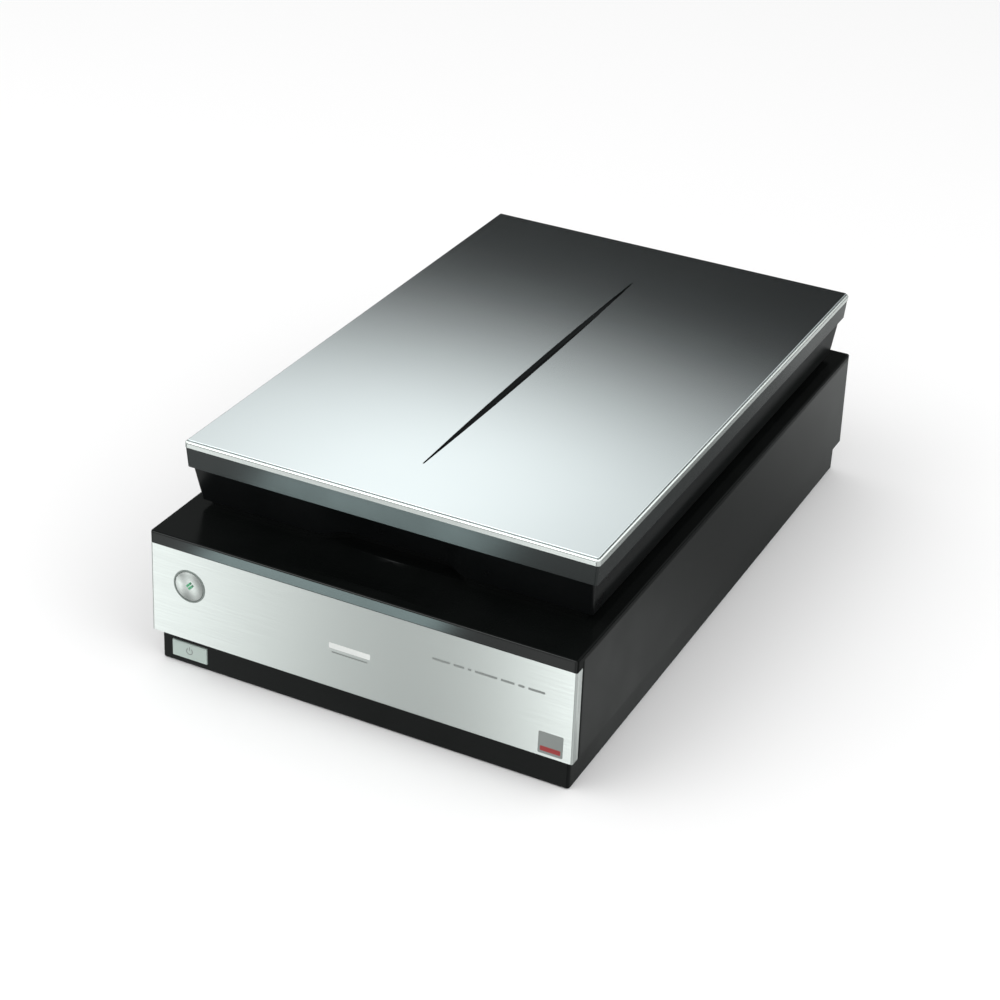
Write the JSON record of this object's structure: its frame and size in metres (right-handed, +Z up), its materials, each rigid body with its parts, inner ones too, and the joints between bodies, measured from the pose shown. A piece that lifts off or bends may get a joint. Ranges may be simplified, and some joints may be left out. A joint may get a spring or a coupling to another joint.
{
  "type": "flatbed scanner",
  "caption": "Flatbed photo scanner with a silver lid that hinges and lifts at the rear, a glass platen and a driven carriage with lamps and lenses",
  "frame": {"origin": "centre of the footprint, on the surface that the rubber feet stand on", "axes": "+X to the right seen from the front, +Y from the button panel to the hinges, +Z up"},
  "size_m": [0.308, 0.503, 0.152],
  "materials": {
    "case_black": "fine-textured black moulded plastic",
    "cover_black": "semi-gloss black moulded plastic",
    "silver_fascia": "brushed, clear-lacquered",
    "button_silver": "satin silver lacquer",
    "button_grey": "satin pale grey moulded plastic",
    "board_green": "solder-masked circuit board",
    "rubber_black": "matt moulded rubber",
    "zinc_steel": "zinc-plated",
    "ground_steel": "ground and polished",
    "motor_grey": "pressed steel can",
    "clear_glass": "polished float glass",
    "milk_glass": "opal diffusing sheet",
    "lamp_glass": "phosphor-coated lamp tube",
    "mirror_glass": "front-silvered",
    "reflector_metal": "bright rolled sheet",
    "carriage_black": "glass-filled black moulding",
    "gear_white": "natural acetal",
    "bush_bronze": "sintered bronze",
    "lens_black": "black anodised barrel with coated glass",
    "port_shell": "tinned shell",
    "port_black": "moulded connector body",
    "hinge_black": "glass-filled black moulding",
    "lid_plate_silver": "satin metallic silver",
    "trim_silver": "bright satin silver",
    "band_grey": "semi-gloss dark grey moulded plastic",
    "skirt_black": "fine-grained black moulded plastic",
    "slot_black": "deep gloss black",
    "mat_white": "smooth white sheet over foam"
  },
  "bodies": {
    "base": {"lower_case": "case_black", "top_cover": "cover_black", "front_fascia": "silver_fascia", "start_button_bezel": "button_silver", "control_board": "board_green", "rubber_feet": "rubber_black", "case_screws": "zinc_steel", "platen_glass": "clear_glass", "calibration_strip": "mat_white", "guide_rod": "ground_steel", "rod_saddles": "gear_white", "guide_rail": "zinc_steel", "drive_belt": "rubber_black", "reduction_belt": "rubber_black", "pulley_shafts": "ground_steel", "motor_bracket": "zinc_steel", "stepper_motor": "motor_grey", "tension_bracket": "zinc_steel", "tension_spring": "zinc_steel", "main_board": "board_green", "usb_port": "port_shell", "firewire_ports": "port_shell", "dc_jack": "port_black", "film_unit_port": "port_black", "hinge_sockets": "hinge_black"},
    "start_button": {"start_button": "button_silver"},
    "power_button": {"power_button": "button_grey"},
    "transport_lock": {"transport_lock": "hinge_black"},
    "scan_carriage": {"carriage_housing": "carriage_black", "carriage_bushes": "bush_bronze", "slide_pad": "gear_white", "scan_lamps": "lamp_glass", "lamp_reflectors": "reflector_metal", "fold_mirrors": "mirror_glass", "wide_lens": "lens_black", "film_lens": "lens_black", "ccd_board": "board_green"},
    "drive_pulley": {"drive_pulley": "gear_white"},
    "idler_pulley": {"idler_pulley": "gear_white"},
    "motor_pulley": {"motor_pulley": "gear_white"},
    "hinge_posts": {"hinge_leg_left": "hinge_black", "hinge_leg_right": "hinge_black", "hinge_pins": "ground_steel"},
    "lid": {"hinge_brackets": "zinc_steel", "lid_lower_case": "skirt_black", "lid_upper_case": "band_grey", "lid_edge_trim": "trim_silver", "lid_top_plate": "lid_plate_silver", "lid_slot_insert": "slot_black", "lid_screws": "zinc_steel", "film_window": "milk_glass", "film_rod": "ground_steel", "film_belt": "rubber_black", "film_motor": "motor_grey"},
    "document_mat": {"document_mat": "mat_white"},
    "film_carriage": {"film_carriage": "carriage_black", "film_lamp": "lamp_glass"},
    "film_drive_pulley": {"film_drive_pulley": "gear_white"},
    "film_idler_pulley": {"film_idler_pulley": "gear_white"}
  },
  "joints": [
    {"name": "lid_lift", "type": "slide", "parent": "base", "child": "hinge_posts", "axis": [0, 0, 1], "range_m": [0, 0.025]},
    {"name": "lid_hinge", "type": "hinge", "parent": "hinge_posts", "child": "lid", "pos_m": [0, 0.2435, 0.112], "axis": [-1, 0, 0], "range_deg": [0, 90]},
    {"name": "mat_slide", "type": "slide", "parent": "lid", "child": "document_mat", "axis": [0, -1, 0], "range_m": [0, 0.012]},
    {"name": "start_button_press", "type": "slide", "parent": "base", "child": "start_button", "axis": [0, 1, 0], "range_m": [0, 0.0012], "stiffness_N_per_m": 1500, "springref_m": -0.0006},
    {"name": "power_button_press", "type": "slide", "parent": "base", "child": "power_button", "axis": [0, 1, 0], "range_m": [0, 0.0012], "stiffness_N_per_m": 1500, "springref_m": -0.0006},
    {"name": "transport_lock_slide", "type": "slide", "parent": "base", "child": "transport_lock", "axis": [1, 0, 0], "range_m": [0, 0.009]},
    {"name": "carriage_travel", "type": "slide", "parent": "base", "child": "scan_carriage", "axis": [0, -1, 0], "range_m": [0, 0.306]},
    {"name": "drive_pulley_spin", "type": "hinge", "parent": "base", "child": "drive_pulley", "pos_m": [-0.04, 0.222, 0.03], "axis": [0, 0, 1], "continuous": true},
    {"name": "idler_pulley_spin", "type": "hinge", "parent": "base", "child": "idler_pulley", "pos_m": [-0.04, -0.222, 0.03], "axis": [0, 0, 1], "continuous": true},
    {"name": "motor_spin", "type": "hinge", "parent": "base", "child": "motor_pulley", "pos_m": [0.012, 0.222, 0.016], "axis": [0, 0, 1], "continuous": true},
    {"name": "film_lamp_travel", "type": "slide", "parent": "lid", "child": "film_carriage", "axis": [0, -1, 0], "range_m": [0, 0.29]},
    {"name": "film_drive_spin", "type": "hinge", "parent": "lid", "child": "film_drive_pulley", "pos_m": [-0.125, 0.196, 0.13], "axis": [0, 0, 1], "continuous": true},
    {"name": "film_idler_spin", "type": "hinge", "parent": "lid", "child": "film_idler_pulley", "pos_m": [-0.125, -0.178, 0.13], "axis": [0, 0, 1], "continuous": true}
  ],
  "couplings": [
    {"joint": "drive_pulley_spin", "follows": "carriage_travel", "rad_per_m": 121.95},
    {"joint": "idler_pulley_spin", "follows": "carriage_travel", "rad_per_m": 121.95},
    {"joint": "motor_spin", "follows": "carriage_travel", "rad_per_m": 312.5},
    {"joint": "film_drive_spin", "follows": "film_lamp_travel", "rad_per_m": -172.41},
    {"joint": "film_idler_spin", "follows": "film_lamp_travel", "rad_per_m": -172.41}
  ]
}
